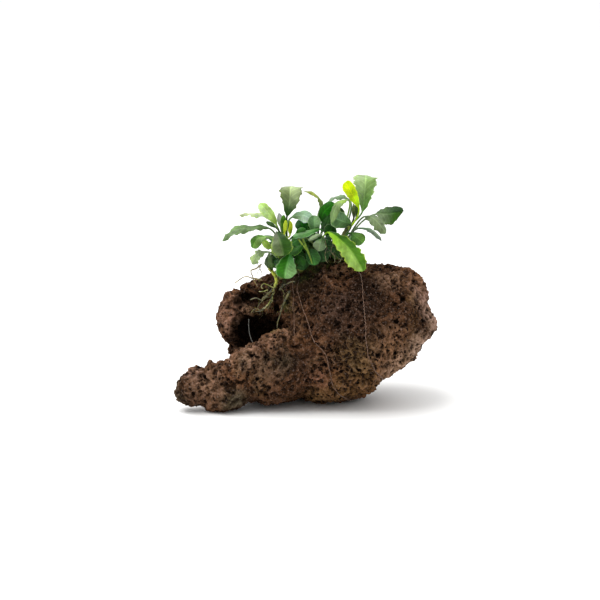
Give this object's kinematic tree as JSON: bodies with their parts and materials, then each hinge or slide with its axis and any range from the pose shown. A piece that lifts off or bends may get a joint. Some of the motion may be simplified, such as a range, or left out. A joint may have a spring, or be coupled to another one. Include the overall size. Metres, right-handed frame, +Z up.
{
  "type": "bucephalandra on stone",
  "caption": "Reddish-brown porous lava stone with a hollow in one end and a small wavy-leaved aquarium plant tied to its crown with thread.",
  "frame": {"origin": "on the surface the stone rests on, under the middle of the object's box", "axes": "+X along the stone, from its low narrow end to its high round end; +Y away from its front face; +Z up"},
  "size_m": [0.1492, 0.0824, 0.1289],
  "materials": {
    "lava_stone": "matte",
    "young_leaf": "satin",
    "green_leaf": "satin",
    "pale_leaf": "satin",
    "dark_leaf": "satin",
    "stem": "matte",
    "root": "matte",
    "cotton_thread": "matte"
  },
  "bodies": {
    "root": {"leaf_left_1": "pale_leaf", "leaf_left_10": "green_leaf", "leaf_left_11": "green_leaf", "leaf_left_12": "dark_leaf", "leaf_left_13": "young_leaf", "leaf_left_14": "young_leaf", "leaf_left_15": "pale_leaf", "leaf_left_16": "dark_leaf", "leaf_left_17": "green_leaf", "leaf_left_18": "dark_leaf", "leaf_left_19": "dark_leaf", "leaf_left_2": "young_leaf", "leaf_left_3": "young_leaf", "leaf_left_4": "green_leaf", "leaf_left_5": "pale_leaf", "leaf_left_6": "pale_leaf", "leaf_left_7": "green_leaf", "leaf_left_8": "pale_leaf", "leaf_left_9": "dark_leaf", "leaf_middle_1": "dark_leaf", "leaf_middle_10": "young_leaf", "leaf_middle_11": "dark_leaf", "leaf_middle_12": "dark_leaf", "leaf_middle_13": "dark_leaf", "leaf_middle_14": "green_leaf", "leaf_middle_15": "dark_leaf", "leaf_middle_16": "dark_leaf", "leaf_middle_2": "pale_leaf", "leaf_middle_3": "green_leaf", "leaf_middle_4": "dark_leaf", "leaf_middle_5": "green_leaf", "leaf_middle_6": "pale_leaf", "leaf_middle_7": "dark_leaf", "leaf_middle_8": "dark_leaf", "leaf_middle_9": "dark_leaf", "leaf_right_1": "young_leaf", "leaf_right_10": "green_leaf", "leaf_right_11": "dark_leaf", "leaf_right_12": "dark_leaf", "leaf_right_2": "pale_leaf", "leaf_right_3": "green_leaf", "leaf_right_4": "pale_leaf", "leaf_right_5": "pale_leaf", "leaf_right_6": "green_leaf", "leaf_right_7": "pale_leaf", "leaf_right_8": "pale_leaf", "leaf_right_9": "green_leaf", "rhizome": "stem", "root_1": "root", "root_2": "root", "root_3": "root", "root_4": "root", "root_5": "root", "root_6": "root", "stone": "lava_stone", "thread_left": "cotton_thread", "thread_loose": "cotton_thread", "thread_middle": "cotton_thread", "thread_right": "cotton_thread"}
  },
  "joints": []
}
